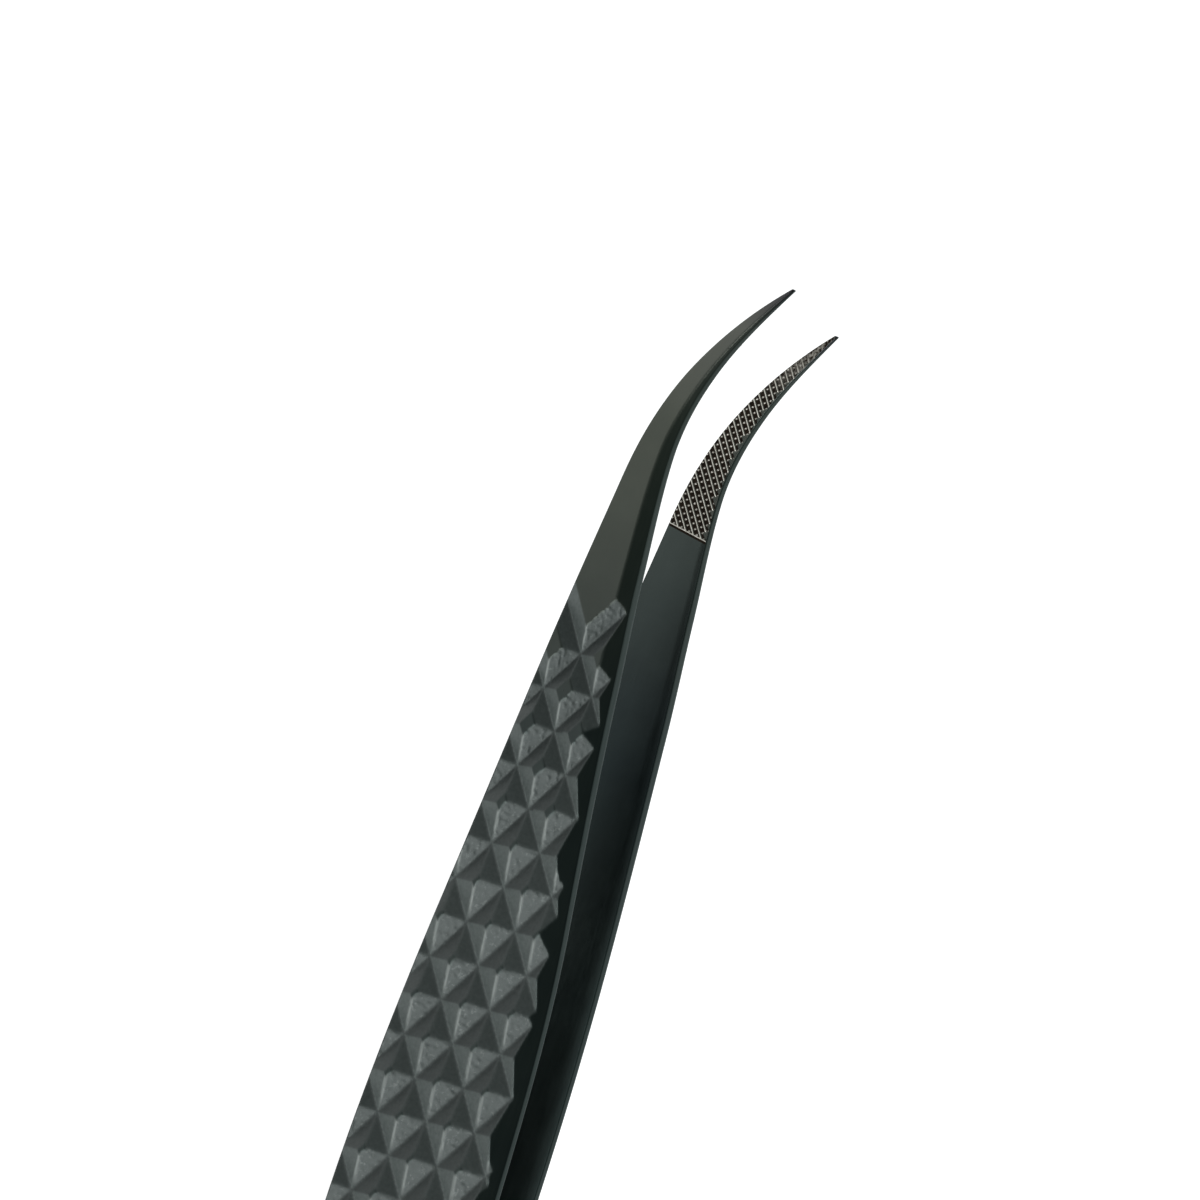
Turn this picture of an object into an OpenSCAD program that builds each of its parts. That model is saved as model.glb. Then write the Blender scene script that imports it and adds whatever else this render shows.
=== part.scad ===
// Curved-tip precision tweezers: two mirrored spring arms with a diamond-milled grip,
// joined at the tail by a spacer and a weld bead.
// X runs from the tips (-X) to the tail (+X), Y is the opening direction and Z is up.
// The tool lies on the back edges of its arms, and the tips curve up.

/* [Overall] */
// Length from the tips to the end of the tail
tool_length = 122; // [118:1:124]
// Half width of each arm at the grip
grip_half_width = 4.5; // [4.2:0.05:5.2]
// Half width of the welded tail
tail_half_width = 3.4; // [3:0.1:3.8]

/* [Opening] */
// Half of the opening between the tips
tip_gap = 4.72; // [4.64:0.02:5.1]
// Half thickness of the spacer between the tails
spacer_half = 0.75; // [0.6:0.05:1]
// Closing angle of each arm, in degrees
closing_angle = 0; // [0:0.01:2.9]

/* [Arm section] */
// Thickness of the tip's end
tip_thickness = 0.32; // [0.3:0.02:0.5]
// Thickness where the grip starts
neck_thickness = 1.76; // [1.6:0.04:2]
// Thickness of the tail
tail_thickness = 1.1; // [0.9:0.05:1.4]
// Width of the wide bevel beside the grip
grip_bevel = 0.93; // [0.75:0.03:0.99]
// Height of the flat land along the back edge, beside the inner face
back_land = 0.5; // [0.4:0.05:0.7]
// Slope of the back side above that land, in degrees
back_draft = 18; // [15:1:26]

/* [Tip] */
// Rise of the curved tip's lower edge above the arm's middle line
tip_rise = 4.2; // [3.6:0.1:4.4]
// Width of the tip's end
tip_width = 0.18; // [0.16:0.02:0.3]
// Length of the hatched gripping face
hatch_length = 11.8; // [8:0.1:14]
// How far the gripping face stands above the arm
hatch_height = 0.1; // [0.06:0.02:0.2]

/* [Grip] */
// Distance from the tip to the first crossing of the milled grooves
grip_start = 20.6; // [20:0.1:23]
// Height of the crossings above the arm's middle line
crossing_height = 0.05; // [-0.3:0.05:0.3]
// Distance between neighbouring grooves that rise towards the tail
rising_pitch = 2.25; // [2.1:0.01:2.4]
// Angle between a rising groove and the arm's middle line
rising_angle = 32.6; // [30:0.1:35]
// Distance between neighbouring grooves that fall towards the tail
falling_pitch = 2.05; // [1.95:0.01:2.3]
// Angle between a falling groove and the arm's middle line
falling_angle = 31.6; // [30:0.1:35]
// Depth of each groove
groove_depth = 0.56; // [0.4:0.02:0.58]
// Slope of each groove's walls from the arm's face, in degrees
groove_slope = 31; // [31:1:40]
// Number of grooves each way
groove_count = 14; // [10:1:14]

/* [Tail] */
// Length of the welded tail
tail_length = 11.9; // [10:0.1:13]
// Length of the straight leg between an arm's bend and the welded tail
leg_length = 22; // [20:0.5:24]
// Radius of the tail's corners
tail_corner = 2.6; // [2:0.1:3]
// Slit between an arm and its fixed root, where the arm bends
bend_slit = 0.1; // [0.08:0.01:0.15]
// How far the weld bead stands out from the tail
bead_height = 0.25; // [0.15:0.05:0.4]
// Length of the weld bead along the sides of the tail
bead_run = 8; // [5:0.5:9]

/* [Hidden] */
$fn = 48;

// The tip, the neck, the wide grip and the tail, as distances from the tip
tip_curl = 5;
lower_curl = 11.5;
upper_curl = 9.8;
bevel_front = 8;
thick_front = 8.5;
tip_land = 14;
neck = 16;
full_thickness = 18;
shoulder = 22;
swell = 34;
spread = 46;
bend_middle = 50;
grip_front = 58;
bend_rear = 70;
grip_back = 74;
arm_end = tool_length - tail_length - leg_length - bend_slit / 2;
tail_end = tool_length - bead_height;

// Each profile is a smooth curve through a few stations: [distance, value, slope]
lower_edge = [
    [0, tip_rise, -0.93],
    [tip_curl, 0.74, -0.49],
    [lower_curl, -1.03, -0.1],
    [shoulder, -0.47 * grip_half_width, -0.097],
    [swell, -0.757 * grip_half_width, -0.124],
    [spread, -0.96 * grip_half_width, -0.04],
    [grip_front, -grip_half_width, 0],
    [grip_back, -grip_half_width, 0],
    [arm_end, -tail_half_width, 0]
];
upper_edge = [
    [0, tip_rise + tip_width, -0.58],
    [tip_curl, 1.91, -0.344],
    [upper_curl, 1.08, 0.016],
    [neck, 1.555, 0.083],
    [shoulder, 0.48 * grip_half_width, 0.09],
    [swell, 0.745 * grip_half_width, 0.1],
    [spread, 0.887 * grip_half_width, 0.02],
    [grip_front, 0.91 * grip_half_width, 0],
    [grip_back, 0.91 * grip_half_width, 0],
    [arm_end, tail_half_width, 0]
];
inner_face = [
    [0, tip_gap, 0],
    [tip_land, tip_gap, 0],
    [swell, 0.757 * tip_gap, -0.12],
    [bend_middle, 0.56 * tip_gap, -0.08],
    [bend_rear, 0.255 * tip_gap, -0.03],
    [arm_end, spacer_half, -0.012]
];
thickness = [
    [0, tip_thickness, 0.17],
    [thick_front, 0.64 * neck_thickness, 0.082],
    [full_thickness, neck_thickness, 0.03],
    [bend_middle, neck_thickness - 0.02, 0],
    [arm_end, tail_thickness, 0]
];
upper_bevel = [
    [0, 0.06, 0.04],
    [bevel_front, 0.34 * grip_bevel, 0.06],
    [full_thickness, 0.68 * grip_bevel, 0.025],
    [bend_middle, grip_bevel, -0.02],
    [arm_end, 0.35, 0]
];

function blend(u, a, b, run) =
    (2 * u ^ 3 - 3 * u ^ 2 + 1) * a[1] + (u ^ 3 - 2 * u ^ 2 + u) * run * a[2]
    + (3 * u ^ 2 - 2 * u ^ 3) * b[1] + (u ^ 3 - u ^ 2) * run * b[2];
function piece_at(s, curve, i = 0) =
    i >= len(curve) - 2 || s <= curve[i + 1][0] ? i : piece_at(s, curve, i + 1);
function along(s, curve, i) =
    blend((s - curve[i][0]) / (curve[i + 1][0] - curve[i][0]), curve[i], curve[i + 1],
        curve[i + 1][0] - curve[i][0]);
function value(s, curve) = along(s, curve, piece_at(s, curve));
function outer_face(s) = value(s, inner_face) + value(s, thickness);

// Places of the arm's cross-sections, closer together where the tip curls
stations = concat(
    [for (s = [0:1.5:15]) s],
    [for (s = [18:4:58]) s],
    [for (i = [1:7]) grip_front + (arm_end - grip_front) * i / 7]
);
cross_reach = 15;

// Points along an arm whose second coordinate is what a rule gives there
function trace(rule) = [for (s = stations) [s, rule(s)]];
function backwards(points) = [for (i = [len(points) - 1:-1:0]) points[i]];

// An outline along the arm, extruded right across it. A turn of 0 gives the outline seen from
// above, 90 the one seen from the side, and any other the one seen along a sloping side.
module cross_extrude(turn, low, high) {
    rotate([turn, 0, 0])
        translate([0, 0, -cross_reach])
        linear_extrude(height = 2 * cross_reach)
        polygon(concat(low, backwards(high)));
}

// The arm before its grip is cut: what lies inside all four outlines
module arm_blank() {
    under = [[0, -cross_reach], [arm_end, -cross_reach]];
    over = [[0, cross_reach], [arm_end, cross_reach]];
    bevel = function (s) (outer_face(s) + value(s, upper_edge) - value(s, upper_bevel)) / sqrt(2);
    draft = function (s)
        value(s, lower_edge) * cos(back_draft) - (value(s, inner_face) + back_land) * sin(back_draft);
    intersection() {
        cross_extrude(0, trace(function (s) value(s, inner_face)), trace(function (s) outer_face(s)));
        cross_extrude(
            90, trace(function (s) value(s, lower_edge)), trace(function (s) value(s, upper_edge))
        );
        cross_extrude(45, under, trace(bevel));
        cross_extrude(90 + back_draft, trace(draft), over);
    }
}

// A V-shaped cutter whose edge lies groove_depth below the local outer face
module groove(s, angle) {
    reach = 5;
    half_run = 12;
    clearance = 0.6;
    top = groove_depth + clearance;
    half_width = top / tan(groove_slope);
    lean = atan((outer_face(s + reach) - outer_face(s - reach)) / (2 * reach));
    face = (outer_face(s - reach) + 2 * outer_face(s) + outer_face(s + reach)) / 4;
    translate([s, face - groove_depth, crossing_height])
        rotate([0, 0, lean])
        rotate([0, 90 - angle, 0])
        linear_extrude(height = 2 * half_run, center = true)
        polygon([[0, 0], [half_width, top], [-half_width, top]]);
}

module grip_grooves() {
    for (k = [0:groove_count - 1]) {
        groove(grip_start + k * rising_pitch / sin(rising_angle), rising_angle);
        groove(grip_start + k * falling_pitch / sin(falling_angle), -falling_angle);
    }
}

// Moves a shape from distances along the arm to the tool's own frame
module in_place() {
    translate([-tool_length / 2, 0, grip_half_width])
        children();
}

// Turns an arm about its bending line at the spacer
module closed_by(angle) {
    turn_y = spacer_half + tail_thickness / 2;
    translate([arm_end, turn_y, 0])
        rotate([0, 0, angle])
        translate([-arm_end, -turn_y, 0])
        children();
}

module arm() {
    in_place()
        closed_by(closing_angle)
        difference() {
            arm_blank();
            grip_grooves();
        }
}

// Flat land inside the tip that carries the fine hatching
module tip_face() {
    margin = 0.07;
    setback = 0.25;
    steps = 24;
    places = [for (i = [0:steps]) setback + (hatch_length - setback) * i / steps];
    low = [for (s = places) [s, value(s, lower_edge) + margin]];
    high = [for (i = [steps:-1:0]) [places[i], value(places[i], upper_edge) - margin]];
    in_place()
        closed_by(closing_angle)
        translate([0, tip_gap, 0])
        rotate([90, 0, 0])
        linear_extrude(height = hatch_height)
        polygon(concat(low, high));
}

// Outline of the tail from a given distance to its end, widened all round by grow
module tail_outline(from, grow = 0) {
    half = tail_half_width + grow;
    radius = tail_corner + grow;
    end = tail_end + grow;
    translate([from, -half])
        square([end - radius - from, 2 * half]);
    translate([from, radius - half])
        square([end - from, 2 * (half - radius)]);
    for (side = [-1, 1])
        translate([end - radius, side * (half - radius)])
            circle(r = radius);
}

// A plate with the tail's outline, from one distance to another across the opening
module tail_plate(from, y_low, y_high, grow = 0) {
    in_place()
        translate([0, y_high, 0])
        rotate([90, 0, 0])
        linear_extrude(height = y_high - y_low)
        tail_outline(from, grow);
}

module arm_root() {
    tail_plate(arm_end + bend_slit, spacer_half, spacer_half + tail_thickness);
}

module near_side() {
    mirror([0, 1, 0])
        children();
}

module near_arm() {
    color("#39413f")
        near_side()
        arm();
}

module far_arm() {
    color("#39413f")
        arm();
}

module near_tip_face() {
    color("#9a8f7c")
        near_side()
        tip_face();
}

module far_tip_face() {
    color("#9a8f7c")
        tip_face();
}

module near_arm_root() {
    color("#2f3635")
        near_side()
        arm_root();
}

module far_arm_root() {
    color("#2f3635")
        arm_root();
}

module tail_spacer() {
    setback = 1;
    color("#1f2424")
        tail_plate(tool_length - tail_length + setback, -spacer_half, spacer_half);
}

module tail_weld() {
    overlap = 0.45;
    bead_half = spacer_half + overlap;
    color("#4a5250")
        difference() {
            tail_plate(tail_end - bead_run, -bead_half, bead_half, bead_height);
            tail_plate(tail_end - bead_run - 1, -bead_half - 1, bead_half + 1);
        }
}

near_arm();
far_arm();
near_tip_face();
far_tip_face();
near_arm_root();
far_arm_root();
tail_spacer();
tail_weld();
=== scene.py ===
"""Curved-tip tweezers: detailed arms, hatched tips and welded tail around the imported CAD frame."""
import math

import bpy
import numpy as np
from mathutils import Matrix, Vector

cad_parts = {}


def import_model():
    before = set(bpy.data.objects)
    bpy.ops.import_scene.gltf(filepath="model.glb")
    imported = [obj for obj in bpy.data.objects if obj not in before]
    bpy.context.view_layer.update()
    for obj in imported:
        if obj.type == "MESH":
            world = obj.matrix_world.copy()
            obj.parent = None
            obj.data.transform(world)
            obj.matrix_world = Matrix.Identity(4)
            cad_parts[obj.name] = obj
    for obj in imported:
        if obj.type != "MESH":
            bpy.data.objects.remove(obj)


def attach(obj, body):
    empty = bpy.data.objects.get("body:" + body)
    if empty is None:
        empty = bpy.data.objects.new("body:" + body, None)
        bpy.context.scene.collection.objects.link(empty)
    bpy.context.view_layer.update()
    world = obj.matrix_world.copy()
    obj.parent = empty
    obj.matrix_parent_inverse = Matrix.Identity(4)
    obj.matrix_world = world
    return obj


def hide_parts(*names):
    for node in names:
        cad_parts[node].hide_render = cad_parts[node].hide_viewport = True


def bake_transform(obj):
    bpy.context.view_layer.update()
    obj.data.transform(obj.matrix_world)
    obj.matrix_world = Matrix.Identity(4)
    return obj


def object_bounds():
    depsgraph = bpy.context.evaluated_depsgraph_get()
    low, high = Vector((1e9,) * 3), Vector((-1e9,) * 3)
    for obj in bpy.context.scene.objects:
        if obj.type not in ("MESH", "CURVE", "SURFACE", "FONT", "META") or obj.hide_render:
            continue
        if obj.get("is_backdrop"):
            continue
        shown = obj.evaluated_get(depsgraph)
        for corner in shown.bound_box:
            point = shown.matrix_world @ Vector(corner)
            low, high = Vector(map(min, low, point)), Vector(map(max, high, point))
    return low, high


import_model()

cad_box = [list(corner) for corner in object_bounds()]

MM = 0.001
TIP_X = cad_box[0][0] / MM
TOOL_LENGTH = (cad_box[1][0] - cad_box[0][0]) / MM

# The arm's driving sizes, in millimetres, as in the CAD model
HALF_WIDTH = 4.5
AXIS_Z = HALF_WIDTH
TAIL_HALF = 3.4
TAIL_LENGTH = 11.9
TAIL_CORNER = 2.6
LEG_LENGTH = 22
TIP_GAP = 4.72
SPACER_HALF = 0.75
BACK_LAND = 0.5
BACK_DRAFT = math.radians(18)
BEAD_HEIGHT = 0.25
BEAD_RUN = 8
ARM_END = TOOL_LENGTH - TAIL_LENGTH - LEG_LENGTH
TAIL_END = TOOL_LENGTH - BEAD_HEIGHT

# Each profile is a smooth curve through a few stations: (distance from the tip, value, slope)
LOWER_EDGE = [
    (0, 4.2, -0.93), (5, 0.74, -0.49), (11.5, -1.03, -0.1), (22, -0.47 * HALF_WIDTH, -0.097),
    (34, -0.757 * HALF_WIDTH, -0.124), (46, -0.96 * HALF_WIDTH, -0.04), (58, -HALF_WIDTH, 0),
    (74, -HALF_WIDTH, 0), (ARM_END, -TAIL_HALF, 0), (TAIL_END, -TAIL_HALF, 0),
]
UPPER_EDGE = [
    (0, 4.38, -0.58), (5, 1.91, -0.344), (9.8, 1.08, 0.016), (16, 1.555, 0.083),
    (22, 0.48 * HALF_WIDTH, 0.09), (34, 0.745 * HALF_WIDTH, 0.1), (46, 0.887 * HALF_WIDTH, 0.02),
    (58, 0.91 * HALF_WIDTH, 0), (74, 0.91 * HALF_WIDTH, 0), (ARM_END, TAIL_HALF, 0),
    (TAIL_END, TAIL_HALF, 0),
]
INNER_FACE = [
    (0, TIP_GAP, 0), (14, TIP_GAP, 0), (34, 0.757 * TIP_GAP, -0.12), (50, 0.56 * TIP_GAP, -0.08),
    (70, 0.255 * TIP_GAP, -0.03), (ARM_END, SPACER_HALF, 0), (TAIL_END, SPACER_HALF, 0),
]
THICKNESS = [
    (0, 0.32, 0.17), (8.5, 1.126, 0.082), (18, 1.755, 0.03), (50, 1.74, 0), (ARM_END, 1.1, 0),
    (TAIL_END, 1.1, 0),
]
WIDE_BEVEL = [
    (0, 0.06, 0.04), (8, 0.316, 0.06), (18, 0.632, 0.025), (50, 0.93, -0.02), (ARM_END, 0.35, 0),
    (TAIL_END, 0.3, 0),
]

# The milled grip: pitch and angle of the grooves that rise and fall towards the tail
GROOVE_START = 20.6
GROOVE_HEIGHT = 0.05
GROOVE_ROOT = 0.015
RISING = (2.25, math.radians(32.6))
FALLING = (2.05, math.radians(31.6))
GROOVE_DEPTH = 0.56
# Slope of the groove walls: steeper for the first rows than for the rest of the grip
FIRST_SLOPE, FIRST_END = math.tan(math.radians(38)), 23.5
GROOVE_SLOPE, REST_START = math.tan(math.radians(31)), 31.0
GROOVE_COUNT = 14

# What the cutter leaves: chatter, torn burrs, and the rounding of the edges it makes
CHATTER, FINE_CHATTER = 0.008, 0.005
TEAR_HEIGHT, TEAR_SHARE = 0.09, 0.3
RIDGE_ROUNDING, LIP_ROUNDING = 0.05, 0.03
CUT_REACH = 0.4
MILLED_DEPTH = 0.05
# Width of the crests painted lighter, partly as wear and partly as a painted highlight
CREST_WIDTH = 0.1

# The hatching inside the tips
HATCH_START = 0.08
HATCH_END = 11.8
HATCH_HEIGHT = 0.1
HATCH_PITCH = 0.325
HATCH_ANGLE = math.radians(34)
HATCH_TILT = 0.2
HATCH_MARGIN = 0.1
LINE_WIDTH = 0.045
DOT_WIDTH, DOT_LENGTH = 0.034, 0.06
FINE_LENGTH = 3.2


def along(s, stations):
    """The value of a profile at distances s from the tip."""
    s = np.asarray(s, float)
    out = np.full(s.shape, float(stations[0][1]))
    for (s0, v0, m0), (s1, v1, m1) in zip(stations, stations[1:]):
        run = s1 - s0
        u = np.clip((s - s0) / run, 0, 1)
        curve = (
            (2 * u**3 - 3 * u**2 + 1) * v0 + (u**3 - 2 * u**2 + u) * run * m0
            + (3 * u**2 - 2 * u**3) * v1 + (u**3 - u**2) * run * m1
        )
        out = np.where(s >= s0, curve, out)
    return out


def soft_min(a, b, width):
    """The lower of two surfaces, with the edge where they meet rounded."""
    return 0.5 * (a + b - np.sqrt((a - b) ** 2 + width**2))


def value_noise(x, y, seed):
    """Smooth random values from -1 to 1 on the plane, one new value for each unit of x and y."""
    table = np.random.default_rng(seed).uniform(-1, 1, (256, 256))
    xi, yi = np.floor(x).astype(int), np.floor(y).astype(int)
    fx, fy = x - xi, y - yi
    fx, fy = fx * fx * (3 - 2 * fx), fy * fy * (3 - 2 * fy)
    corner = lambda i, j: table[(xi + i) % 256, (yi + j) % 256]
    low = corner(0, 0) * (1 - fx) + corner(1, 0) * fx
    high = corner(0, 1) * (1 - fx) + corner(1, 1) * fx
    return low * (1 - fy) + high * fy


def place(s, q, z, side):
    """Points in metres from distance along the arm, distance from the middle plane and height."""
    s, q, z = np.broadcast_arrays(s, q, z)
    return np.stack([TIP_X + s, side * q, AXIS_Z + z], axis=-1) * MM


def grid_faces(rows, columns, closed):
    """Quads over a grid of points; closed joins the last column to the first."""
    i = np.arange(rows - 1)[:, None] * columns
    j = np.arange(columns if closed else columns - 1)[None, :]
    after = (j + 1) % columns
    return np.stack([i + j, i + after, i + columns + after, i + columns + j], axis=-1).reshape(-1, 4)


def new_mesh(name, points, faces, attributes=None):
    """A smooth-shaded mesh object from points, faces and values for each point."""
    mesh = bpy.data.meshes.new(name)
    mesh.from_pydata(points.reshape(-1, 3).tolist(), [], [list(map(int, f)) for f in faces])
    for key, values in (attributes or {}).items():
        layer = mesh.attributes.new(key, "FLOAT", "POINT")
        layer.data.foreach_set("value", np.ascontiguousarray(values, np.float32).ravel())
    mesh.polygons.foreach_set("use_smooth", [True] * len(mesh.polygons))
    mesh.validate()
    mesh.update()
    obj = bpy.data.objects.new(name, mesh)
    bpy.context.collection.objects.link(obj)
    return obj


def flipped(faces):
    return [list(reversed(list(f))) for f in faces]


# ---------------------------------------------------------------- arms

RING = [("wall", 3), ("draft", 9), ("face", 76), ("bevel", 16), ("side", 5), ("inside", 9)]
FILLETS = [0.05, 0.06, 0.07, 0.09, 0.06, 0.05]


def arm_stations():
    tip = np.arange(0, 16, 0.2)
    front = np.arange(16, 54, 0.09)
    middle = np.arange(54, 90, 0.16)
    rear = np.arange(90, TAIL_END - TAIL_CORNER, 0.9)
    turn = np.linspace(0, math.pi / 2, 14)
    end = TAIL_END - TAIL_CORNER + TAIL_CORNER * np.sin(turn)
    return np.concatenate([tip, front, middle, rear, end])


def edges_at(s):
    """Lower and upper edge of an arm, with the rounded corners of the tail."""
    low, high = along(s, LOWER_EDGE), along(s, UPPER_EDGE)
    into = np.clip(s - (TAIL_END - TAIL_CORNER), 0, TAIL_CORNER)
    inset = TAIL_CORNER - np.sqrt(np.maximum(TAIL_CORNER**2 - into**2, 0))
    return low + inset, high - inset


def section_corners(s):
    """The six corners of the arm's cross-section: distance from the middle plane, and height."""
    low, high = edges_at(s)
    inner, thick = along(s, INNER_FACE), along(s, THICKNESS)
    land = np.minimum(BACK_LAND, 0.55 * thick)
    outer = inner + thick
    slope = (thick - land) * math.tan(BACK_DRAFT)
    wide = along(s, WIDE_BEVEL)
    return [
        (inner, low), (inner + land, low), (outer, low + slope),
        (outer, high - wide), (outer - wide, high), (inner, high),
    ]


def groove_surface(s, z, outer):
    """Height of the surface each family of grooves leaves, and the side of its groove a point is on."""
    out = []
    for (pitch, angle), rise in ((RISING, -1), (FALLING, 1)):
        across = (s - GROOVE_START) * math.sin(angle) + rise * (z - GROOVE_HEIGHT) * math.cos(angle)
        nearest = np.clip(np.round(across / pitch), 0, GROOVE_COUNT - 1)
        away = across - nearest * pitch
        wall = np.sqrt(away**2 + GROOVE_ROOT**2) - GROOVE_ROOT
        centre_s = s - away * math.sin(angle)
        part = np.clip((centre_s - FIRST_END) / (REST_START - FIRST_END), 0, 1)
        slope = FIRST_SLOPE + (GROOVE_SLOPE - FIRST_SLOPE) * part
        out.append((outer - GROOVE_DEPTH + slope * wall, away))
    return out


def arm(name, side, seed):
    s = arm_stations()
    corners = section_corners(s)
    rings, zone = [], []
    for i, (part, count) in enumerate(RING):
        a, b = np.array(corners[i]), np.array(corners[(i + 1) % 6])
        run = b - a
        length = np.maximum(np.hypot(*run), 1e-9)
        start = np.minimum(FILLETS[i] / length, 0.3)
        stop = 1 - np.minimum(FILLETS[(i + 1) % 6] / length, 0.3)
        steps = [a + run * (start + (stop - start) * t) for t in np.linspace(0, 1, count)]
        if rings:
            rings.append(0.25 * rings[-1] + 0.5 * a + 0.25 * steps[0])
            zone.append(part)
        rings += steps
        zone += [part] * count
    rings.append(0.25 * rings[-1] + 0.5 * np.array(corners[0]) + 0.25 * rings[0])
    zone.append("inside")
    q = np.stack([r[0] for r in rings], axis=1)
    z = np.stack([r[1] for r in rings], axis=1)
    s2 = np.repeat(s[:, None], q.shape[1], axis=1)

    # Mill the grip, then roughen what the cutter touched
    outer = np.repeat((along(s, INNER_FACE) + along(s, THICKNESS))[:, None], q.shape[1], axis=1)
    (rising, rising_side), (falling, falling_side) = groove_surface(s2, z, outer)
    chatter = CHATTER * value_noise(s2 * 9, z * 9, seed)
    chatter = chatter + FINE_CHATTER * value_noise(s2 * 23, z * 23, seed + 1)
    tear = np.maximum(value_noise(s2 * 6, z * 6, seed + 2) - TEAR_SHARE, 0) * TEAR_HEIGHT
    lit = falling_side < 0
    falling = falling + chatter + np.where(lit, tear, 0)
    rising = rising + 0.6 * chatter
    on_falling = falling < rising
    cut_height = soft_min(falling, rising, RIDGE_ROUNDING)
    millable = np.isin(zone, ["draft", "face", "bevel"])[None, :]
    rounded = soft_min(q, cut_height, LIP_ROUNDING)
    sharp = np.minimum(q, np.minimum(falling, rising))
    milled = np.where(millable, np.clip((q - sharp) / MILLED_DEPTH, 0, 1), 0)
    # Crests where the two tail-facing walls meet are lightened: partly worn coating, partly a painted
    # highlight, since only these crests get it
    crest = np.clip(1 - np.abs(falling - rising) / CREST_WIDTH, 0, 1)
    crest = crest * (lit & (rising_side < 0)) * milled
    raised = np.clip((sharp - outer + GROOVE_DEPTH - 0.05) / 0.2, 0, 1)
    crest_wear_and_highlight = crest * raised
    torn = np.where(lit & on_falling, milled, 0)
    # Groove walls that face the tips are marked here so that the material paints them darker: painted
    # shade
    tip_side_painted_shade = np.where(on_falling, falling_side > 0, rising_side > 0) * milled
    inner = np.repeat((np.array(zone) == "inside").astype(float)[None, :], len(s), axis=0)
    near_cut = millable & (cut_height < q + CUT_REACH)
    q = np.where(near_cut, rounded, q)
    faces = grid_faces(*q.shape, closed=True).tolist()
    faces.append(list(reversed(range(q.shape[1]))))
    last = (q.shape[0] - 1) * q.shape[1]
    faces.append([last + i for i in range(q.shape[1])])
    if side > 0:
        faces = flipped(faces)
    attributes = {
        "milled": milled, "crest_wear_and_highlight": crest_wear_and_highlight, "torn": torn, "tip_side_painted_shade": tip_side_painted_shade, "inner": inner,
        "station": s2,
    }
    return new_mesh(name, place(s2, q, z, side), faces, attributes)


# ---------------------------------------------------------------- hatched tips


def hatch_lines(s, z):
    """How bright and high the hatching is from 0 to 1, where the surface is hatched at all, and where
    it takes the painted shadow behind the end line.
    """
    sine, cosine = math.sin(HATCH_ANGLE), math.cos(HATCH_ANGLE)
    c1 = (-(s - HATCH_END) * sine + z * cosine) / HATCH_PITCH
    c2 = ((s - HATCH_END) * cosine + z * sine) / HATCH_PITCH
    d1 = np.abs(c1 - np.round(c1)) * HATCH_PITCH
    d2 = np.abs(c2 - np.round(c2)) * HATCH_PITCH
    line = np.clip(1.3 - d1 / LINE_WIDTH, 0, 1)
    from_dot = np.hypot(d2 / DOT_WIDTH, (HATCH_PITCH / 2 - d1) / DOT_LENGTH)
    dots = 0.6 * np.clip(1.5 - from_dot, 0, 1)
    ridge = np.maximum(line, dots)
    # The beam bites irregularly where the tip is finest
    grain = np.clip(0.5 + 0.9 * value_noise(s * 11, z * 15, 5), 0, 1)
    fine = np.clip(1.25 - s / FINE_LENGTH, 0, 1)
    ridge = ridge * (1 - fine) + 0.28 * grain * fine
    # The upper border steps from cell to cell
    u1, u2 = np.round(c1) * HATCH_PITCH, (np.floor(c2) + 0.5) * HATCH_PITCH
    cell_s = HATCH_END - u1 * sine + u2 * cosine
    cell_z = u1 * cosine + u2 * sine
    _, high = edges_at(np.clip(cell_s, 0, None))
    hatched = (cell_z < high - HATCH_MARGIN * np.clip(s / 6, 0.3, 1)).astype(float)
    # The end line, and a painted shadow behind it
    low, high = edges_at(s)
    end = HATCH_END + HATCH_TILT * (z - (low + high) / 2)
    end_line = np.clip(1.5 - (end - s) / 0.05, 0, 1)
    ridge = np.where(s < end, np.maximum(ridge * hatched, end_line), 0)
    # The strip just past the end line counts as hatched with no lines, so it takes the dark pit colour:
    # a painted shadow
    hatched = np.where(end - s < 0.1, 1, hatched)
    return ridge, hatched


def tip_face(name, side):
    """The hatched face inside a tip: a thin sheet with the lines in relief, sunk into the arm."""
    rows, columns = 430, 84
    painted_shadow_width, border_width, depth = 0.12, 0.04, 0.03
    plain_height, pit_height = 0.004, 0.016
    across = np.linspace(0, 1, columns)[None, :]
    low, high = edges_at(HATCH_END)
    # The sheet runs on past the end line to carry the painted shadow strip
    end = HATCH_END + HATCH_TILT * (high - low) * (across - 0.5) + painted_shadow_width
    s = HATCH_START + (end - HATCH_START) * np.linspace(0, 1, rows)[:, None]
    low, high = edges_at(s)
    margin = np.minimum(border_width, 0.2 * (high - low))
    z = low + margin + (high - low - 2 * margin) * across
    ridge, hatched = hatch_lines(s, z)
    height = plain_height + pit_height * hatched
    height = height + (HATCH_HEIGHT - plain_height - pit_height) * ridge
    base = along(s, INNER_FACE)
    q = base - height
    rim_q = base + depth
    top = place(s, q, z, side)
    under = place(s, rim_q, z, side)
    # Close the sheet with a skirt down into the arm
    border = [(0, j) for j in range(columns)]
    border += [(i, columns - 1) for i in range(1, rows)]
    border += [(rows - 1, j) for j in range(columns - 2, -1, -1)]
    border += [(i, 0) for i in range(rows - 2, 0, -1)]
    points = np.concatenate([top.reshape(-1, 3), np.array([under[i, j] for i, j in border])])
    faces = grid_faces(rows, columns, closed=False).tolist()
    base_index = rows * columns
    count = len(border)
    for k, (i, j) in enumerate(border):
        i2, j2 = border[(k + 1) % count]
        faces.append([i2 * columns + j2, i * columns + j, base_index + k, base_index + (k + 1) % count])
    faces.append([base_index + k for k in range(count)])
    if side < 0:
        faces = flipped(faces)
    values = np.concatenate([ridge.ravel(), np.zeros(count)])
    zone = np.concatenate([hatched.ravel(), np.zeros(count)])
    return new_mesh(name, points, faces, {"ridge": values, "hatched": zone})


# ---------------------------------------------------------------- tail


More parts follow.
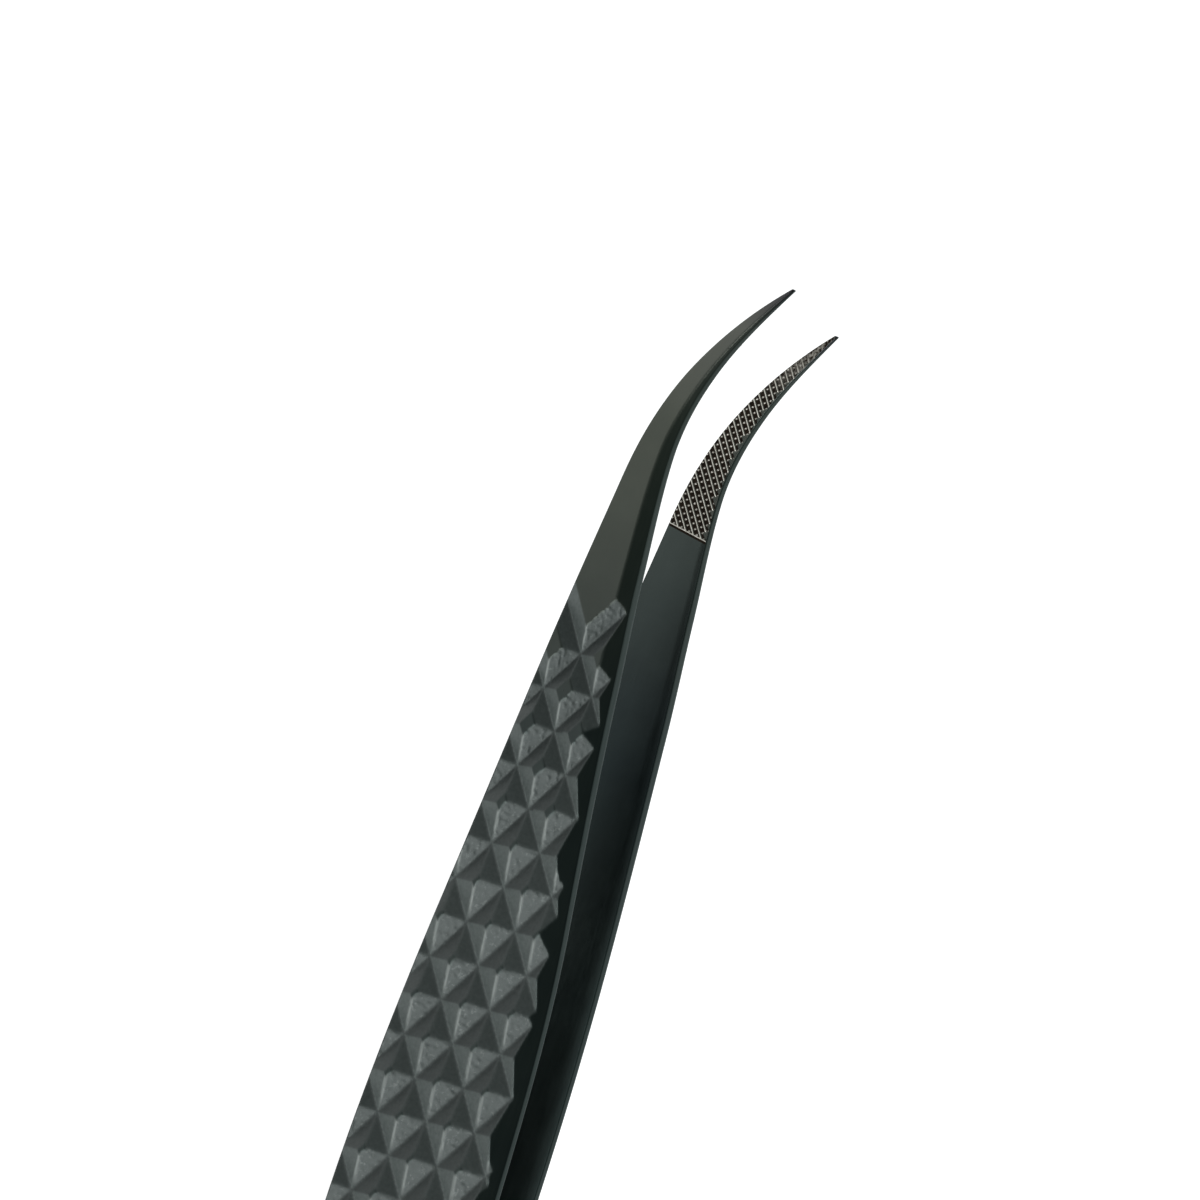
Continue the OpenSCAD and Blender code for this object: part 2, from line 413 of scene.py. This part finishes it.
def tail_path(start, grow, count):
    """Points round the tail's outline from one side to the other, with their outward directions."""
    half, radius = TAIL_HALF + grow, TAIL_CORNER + grow
    end = TAIL_END + grow
    centre = end - radius
    points, normals = [], []
    for t in np.linspace(start, centre, count, endpoint=False):
        points.append((t, half))
        normals.append((0, 1))
    for a in np.linspace(math.pi / 2, 0, 24):
        points.append((centre + radius * math.cos(a), half - radius + radius * math.sin(a)))
        normals.append((math.cos(a), math.sin(a)))
    for z in np.linspace(half - radius, -(half - radius), 20)[1:-1]:
        points.append((end, z))
        normals.append((1, 0))
    mirrored = [(s, -z) for s, z in reversed(points[: count + 24])]
    mirrored_normals = [(a, -b) for a, b in reversed(normals[: count + 24])]
    return np.array(points + mirrored), np.array(normals + mirrored_normals)


def tail_weld(name):
    """A bead that runs round the tail, with the faint ripples of its weld."""
    ripple_depth, ripple_pitch = 0.1, 0.55
    overlap, sink, core = 0.42, 0.06, 0.3
    path, normal = tail_path(TAIL_END - BEAD_RUN, 0, 60)
    rows = len(path)
    travel = np.concatenate([[0], np.cumsum(np.hypot(*np.diff(path, axis=0).T))])
    fade = np.clip(np.minimum(travel, travel[-1] - travel) / 1.2, 0, 1) ** 0.5
    ripple = 1 - ripple_depth * np.abs(np.sin(travel * math.pi / ripple_pitch))
    angles = np.linspace(0, math.pi, 15)
    reach, half = BEAD_HEIGHT * 0.98, SPACER_HALF + overlap
    out = reach * np.sin(angles)[None, :] * (fade * ripple)[:, None]
    out = out - sink * (1 - np.sin(angles))[None, :]
    y = half * np.cos(angles)[None, :] * (0.25 + 0.75 * fade)[:, None]
    s = path[:, :1] + normal[:, :1] * out
    z = path[:, 1:] + normal[:, 1:] * out
    back_s = path[:, 0] - normal[:, 0] * core
    back_z = path[:, 1] - normal[:, 1] * core
    s = np.concatenate([s, back_s[:, None], back_s[:, None]], axis=1)
    z = np.concatenate([z, back_z[:, None], back_z[:, None]], axis=1)
    y = np.concatenate([y, y[:, -1:], y[:, :1]], axis=1)
    columns = s.shape[1]
    faces = grid_faces(rows, columns, closed=True).tolist()
    faces.append(list(reversed(range(columns))))
    faces.append([(rows - 1) * columns + i for i in range(columns)])
    return new_mesh(name, place(s, y, z, 1), faces)


def tail_spacer(name):
    """The plate between the arm ends, with a rounded front edge."""
    setback, radius, inset_all, chamfer, clearance = 1, 0.4, 0.02, 0.06, 0.005
    front = TOOL_LENGTH - TAIL_LENGTH + setback
    edge = TAIL_HALF - inset_all
    path, _ = tail_path(front + radius, -inset_all, 6)
    nose = [(front + radius - radius * math.sin(a), edge - radius + radius * math.cos(a))
            for a in np.linspace(0, math.pi / 2, 6)]
    outline = [tuple(p) for p in path] + [(s, -z) for s, z in nose] + list(reversed(nose))
    outline = np.array(outline)
    count = len(outline)
    half = SPACER_HALF - clearance
    layers = [(-half, chamfer), (-half + chamfer, 0), (half - chamfer, 0), (half, chamfer)]
    middle = outline.mean(axis=0)
    rows = []
    for y, inset in layers:
        toward = middle - outline
        toward /= np.hypot(*toward.T)[:, None]
        ring = outline + toward * inset
        rows.append(place(ring[:, 0], np.full(count, y), ring[:, 1], 1))
    faces = grid_faces(len(layers), count, closed=True).tolist()
    faces.append(list(reversed(range(count))))
    faces.append([(len(layers) - 1) * count + i for i in range(count)])
    return new_mesh(name, np.concatenate(rows), faces)


# ---------------------------------------------------------------- materials


def material(name):
    mat = bpy.data.materials.new(name)
    mat.use_nodes = True
    nodes, links = mat.node_tree.nodes, mat.node_tree.links
    return mat, nodes, links, nodes["Principled BSDF"]


def noise(nodes, links, scale, detail=4.0, roughness=0.55, stretch=(1, 1, 1)):
    """Noise on the object's own coordinates in millimetres, stretched along an axis."""
    place_node = nodes.new("ShaderNodeTexCoord")
    mapping = nodes.new("ShaderNodeMapping")
    mapping.inputs["Scale"].default_value = [v / MM for v in stretch]
    links.new(place_node.outputs["Object"], mapping.inputs["Vector"])
    node = nodes.new("ShaderNodeTexNoise")
    node.inputs["Scale"].default_value = scale
    node.inputs["Detail"].default_value = detail
    node.inputs["Roughness"].default_value = roughness
    links.new(mapping.outputs["Vector"], node.inputs["Vector"])
    return node.outputs["Fac"]


def ramp(nodes, links, source, stops):
    node = nodes.new("ShaderNodeValToRGB")
    elements = node.color_ramp.elements
    while len(elements) < len(stops):
        elements.new(0.5)
    for element, (position, colour) in zip(elements, stops):
        element.position = position
        element.color = colour if len(colour) == 4 else (*colour, 1)
    links.new(source, node.inputs["Fac"])
    return node.outputs["Color"]


def mix(nodes, links, factor, a, b, kind="MIX"):
    node = nodes.new("ShaderNodeMix")
    node.data_type = "RGBA"
    node.blend_type = kind
    for socket, value in ((node.inputs[0], factor), (node.inputs[6], a), (node.inputs[7], b)):
        if hasattr(value, "is_output"):
            links.new(value, socket)
        else:
            socket.default_value = value if isinstance(value, (int, float)) else (*value, 1)
    return node.outputs[2]


def attribute(nodes, name):
    node = nodes.new("ShaderNodeAttribute")
    node.attribute_name = name
    return node.outputs["Fac"]


def ranged(nodes, links, source, low, high, least=0.0):
    """The source mapped so that low gives the least value and high gives 1."""
    node = nodes.new("ShaderNodeMapRange")
    node.inputs["From Min"].default_value = low
    node.inputs["From Max"].default_value = high
    node.inputs["To Min"].default_value = least
    links.new(source, node.inputs["Value"])
    return node.outputs["Result"]


def bump(nodes, links, height, strength, distance, normal=None):
    node = nodes.new("ShaderNodeBump")
    node.inputs["Strength"].default_value = strength
    node.inputs["Distance"].default_value = distance * MM
    links.new(height, node.inputs["Height"])
    if normal:
        links.new(normal, node.inputs["Normal"])
    return node.outputs["Normal"]


# How much the coated steel and the tail's seam still reflect at a glancing angle
EDGE_TINT = (0.72, 0.78, 0.775, 1)
SEAM_TINT = (0.56, 0.61, 0.605, 1)


def coat_colour(nodes, links):
    """The smooth coating: brownest near the tip, greener in the grip and between the arms, where the
    inner faces are also painted darker near the tips and lighter towards the neck as painted light and
    shade.
    """
    cloud = noise(nodes, links, 0.35, 5)
    tones = [
        (0.4, (0.044, 0.043, 0.046), (0.054, 0.053, 0.056)),
        (2.6, (0.080, 0.084, 0.075), (0.090, 0.094, 0.084)),
        (8.0, (0.059, 0.065, 0.055), (0.067, 0.073, 0.061)),
        (18.0, (0.039, 0.044, 0.039), (0.046, 0.052, 0.046)),
        (24.0, (0.027, 0.033, 0.032), (0.033, 0.040, 0.038)),
    ]
    station = attribute(nodes, "station")
    _, dark, light = tones[0]
    colour = ramp(nodes, links, cloud, [(0.3, dark), (0.7, light)])
    for (before, _, _), (place_s, dark, light) in zip(tones, tones[1:]):
        tone = ramp(nodes, links, cloud, [(0.3, dark), (0.7, light)])
        colour = mix(nodes, links, ranged(nodes, links, station, before, place_s), colour, tone)
    # The faces between the arms take a greener tint, and painted light and shade: darker near the tips,
    # lighter towards the neck
    depth = ranged(nodes, links, station, 13, 38)
    between = ramp(nodes, links, depth, [
        (0.0, (0.38, 0.42, 0.46)), (0.3, (0.36, 0.40, 0.44)), (0.55, (0.40, 0.44, 0.46)),
        (0.72, (0.56, 0.60, 0.61)), (0.9, (0.9, 0.96, 0.97)),
    ])
    inner = mix(nodes, links, 1.0, colour, between, "MULTIPLY")
    inner = mix(nodes, links, 1.0, inner, (2, 2, 2), "MULTIPLY")
    return mix(nodes, links, attribute(nodes, "inner"), colour, inner)


def coated_steel():
    """The arms' coating, with the lighter cut metal of the grip, painted shade on the groove walls that
    face the tips, and lighter crests that are partly worn coating and partly a painted highlight.
    """
    mat, nodes, links, shader = material("coated_steel")
    speck = noise(nodes, links, 6.0, 3)
    grain = noise(nodes, links, 1.0, 6, 0.6, (0.25, 9, 9))
    milled, crest_wear_and_highlight = attribute(nodes, "milled"), attribute(nodes, "crest_wear_and_highlight")
    cut = ramp(nodes, links, speck, [(0.3, (0.032, 0.039, 0.037)), (0.7, (0.045, 0.053, 0.051))])
    burr = noise(nodes, links, 4.2, 4, 0.65)
    burr = ramp(nodes, links, burr, [(0.56, (0, 0, 0)), (0.68, (0.5, 0.5, 0.5))])
    burr = mix(nodes, links, attribute(nodes, "torn"), (0, 0, 0), burr)
    cut = mix(nodes, links, burr, cut, (0.13, 0.145, 0.14))
    colour = mix(nodes, links, milled, coat_colour(nodes, links), cut)
    # Walls facing the tips are painted half as bright: painted shade
    colour = mix(nodes, links, attribute(nodes, "tip_side_painted_shade"), colour, (0.5, 0.5, 0.5), "MULTIPLY")
    colour = mix(nodes, links, attribute(nodes, "torn"), colour, (0.6, 0.6, 0.6), "MULTIPLY")
    # The tail-facing crests take a lighter colour: partly worn coating, partly a painted highlight
    colour = mix(nodes, links, crest_wear_and_highlight, colour, (0.12, 0.131, 0.126))
    links.new(colour, shader.inputs["Base Color"])
    rough = ramp(nodes, links, grain, [(0.25, (0.27, 0.27, 0.27)), (0.75, (0.36, 0.36, 0.36))])
    rough = mix(nodes, links, milled, rough, (0.5, 0.5, 0.5))
    links.new(rough, shader.inputs["Roughness"])
    links.new(ranged(nodes, links, milled, 1.0, 0.0, 0.15), shader.inputs["Metallic"])
    first = bump(nodes, links, grain, 0.12, 0.01)
    links.new(bump(nodes, links, speck, 0.2, 0.012, first), shader.inputs["Normal"])
    shader.inputs["Specular Tint"].default_value = EDGE_TINT
    return mat


def hatched_steel():
    """Bright lines over dark pits, and plain steel where the hatching stops."""
    mat, nodes, links, shader = material("hatched_steel")
    ridge = attribute(nodes, "ridge")
    tone = noise(nodes, links, 3.0, 3)
    pit = ramp(nodes, links, tone, [(0.3, (0.008, 0.006, 0.005)), (0.7, (0.018, 0.013, 0.009))])
    bright = ramp(nodes, links, tone, [(0.3, (0.48, 0.46, 0.40)), (0.7, (0.74, 0.72, 0.66))])
    plain = ramp(nodes, links, tone, [(0.3, (0.05, 0.056, 0.05)), (0.7, (0.06, 0.064, 0.056))])
    hatch = mix(nodes, links, ridge, pit, bright)
    links.new(mix(nodes, links, attribute(nodes, "hatched"), plain, hatch), shader.inputs["Base Color"])
    rough = ramp(nodes, links, ridge, [(0.0, (0.6, 0.6, 0.6)), (1.0, (0.33, 0.33, 0.33))])
    links.new(rough, shader.inputs["Roughness"])
    shader.inputs["Metallic"].default_value = 1.0
    return mat


def plain_steel(name, dark, light, roughness):
    """Coated steel of the tail, between two tones and two values of roughness."""
    mat, nodes, links, shader = material(name)
    cloud = noise(nodes, links, 0.8, 5)
    grain = noise(nodes, links, 1.5, 5, 0.6, (1, 6, 6))
    links.new(ramp(nodes, links, cloud, [(0.3, dark), (0.7, light)]), shader.inputs["Base Color"])
    low, high = roughness
    rough = ramp(nodes, links, grain, [(0.3, (low,) * 3), (0.7, (high,) * 3)])
    links.new(rough, shader.inputs["Roughness"])
    links.new(bump(nodes, links, grain, 0.2, 0.02), shader.inputs["Normal"])
    shader.inputs["Metallic"].default_value = 1.0
    shader.inputs["Specular Tint"].default_value = SEAM_TINT
    return mat


def paint(obj, mat):
    obj.data.materials.clear()
    obj.data.materials.append(mat)
    return obj


# ---------------------------------------------------------------- pieces

coat, hatch = coated_steel(), hatched_steel()
for name, side, seed in (("near", -1, 11), ("far", 1, 47)):
    piece = paint(arm(f"{name}_arm_milled", side, seed), coat)
    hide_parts(f"{name}_arm", f"{name}_arm_root")
    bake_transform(piece)
    face = paint(tip_face(f"{name}_tip_hatching", side), hatch)
    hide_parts(f"{name}_tip_face")
    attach(face, f"{name}_arm")

spacer = tail_spacer("spacer_plate")
seam = plain_steel("spacer_steel", (0.05, 0.056, 0.054), (0.07, 0.078, 0.074), (0.35, 0.5))
paint(spacer, seam)
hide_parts("tail_spacer")
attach(spacer, "tail")

bead = tail_weld("weld_bead")
weld = plain_steel("weld_steel", (0.06, 0.068, 0.065), (0.11, 0.12, 0.115), (0.3, 0.48))
paint(bead, weld)
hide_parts("tail_weld")
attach(bead, "tail")

# ---------------------------------------------------------------- studio


def camera():
    """A long lens near the arms' outer side, rolled so that the tips point up."""
    azimuth, elevation, roll = (math.radians(a) for a in (7.522, 17.364, 106.159))
    distance, scale, frame_size, sensor = 402.7, 20, 1200, 36
    back = Vector((
        math.sin(azimuth) * math.cos(elevation), -math.cos(azimuth) * math.cos(elevation),
        math.sin(elevation),
    ))
    level = Vector((math.cos(azimuth), math.sin(azimuth), 0))
    upright = back.cross(level)
    right = math.cos(roll) * level + math.sin(roll) * upright
    up = -math.sin(roll) * level + math.cos(roll) * upright
    data = bpy.data.cameras.new("camera")
    data.sensor_width = sensor
    data.lens = sensor * scale * distance / frame_size
    data.clip_start = 0.01
    obj = bpy.data.objects.new("camera", data)
    bpy.context.collection.objects.link(obj)
    target = Vector((-43.741, -2, 3.396))
    basis = Matrix((right, up, back)).transposed().to_4x4()
    obj.matrix_world = Matrix.Translation((target + back * distance) * MM) @ basis
    bpy.context.scene.camera = obj


def floor():
    """A plain pale floor that glows, so that the ground stays white."""
    mesh = bpy.data.meshes.new("floor")
    reach, drop = 3, -0.00002
    mesh.from_pydata(
        [(-reach, -reach, drop), (reach, -reach, drop), (reach, reach, drop), (-reach, reach, drop)],
        [], [(0, 1, 2, 3)],
    )
    obj = bpy.data.objects.new("floor", mesh)
    bpy.context.collection.objects.link(obj)
    mat, nodes, links, shader = material("floor")
    shader.inputs["Base Color"].default_value = (0.3, 0.3, 0.3, 1)
    shader.inputs["Roughness"].default_value = 0.9
    shader.inputs["Specular IOR Level"].default_value = 0.0
    shader.inputs["Emission Color"].default_value = (1, 1, 1, 1)
    shader.inputs["Emission Strength"].default_value = 1.0
    mesh.materials.append(mat)
    obj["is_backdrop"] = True


def panel(name, direction, distance, size, radiance):
    """A soft light panel that faces the tool, with its brightness given as radiance."""
    data = bpy.data.lights.new(name, "AREA")
    data.shape = "RECTANGLE"
    data.size, data.size_y = size
    data.energy = radiance * math.pi * size[0] * size[1]
    obj = bpy.data.objects.new(name, data)
    bpy.context.collection.objects.link(obj)
    away = Vector(direction).normalized()
    obj.location = away * distance + Vector((TIP_X * MM / 2, 0, 0))
    obj.rotation_euler = away.to_track_quat("Z", "Y").to_euler()


def world():
    """A soft sky, pale at the horizon and dim overhead."""
    back = bpy.data.worlds.new("studio")
    bpy.context.scene.world = back
    back.use_nodes = True
    nodes, links = back.node_tree.nodes, back.node_tree.links
    where = nodes.new("ShaderNodeTexCoord")
    split = nodes.new("ShaderNodeSeparateXYZ")
    links.new(where.outputs["Generated"], split.inputs[0])
    glow = ramp(nodes, links, split.outputs["Z"], [
        (0.0, (0.5, 0.53, 0.53)), (0.3, (0.42, 0.46, 0.45)), (0.6, (0.16, 0.21, 0.2)),
    ])
    links.new(glow, nodes["Background"].inputs["Color"])
    nodes["Background"].inputs["Strength"].default_value = 1.0


camera()
floor()
world()
panel("key", (0.736, -0.643, 0.217), 0.9, (1.2, 1.2), 5.2)
bpy.context.scene.view_settings.view_transform = "Standard"

sizes = {"cad": cad_box, "visual": [list(corner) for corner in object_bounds()]}
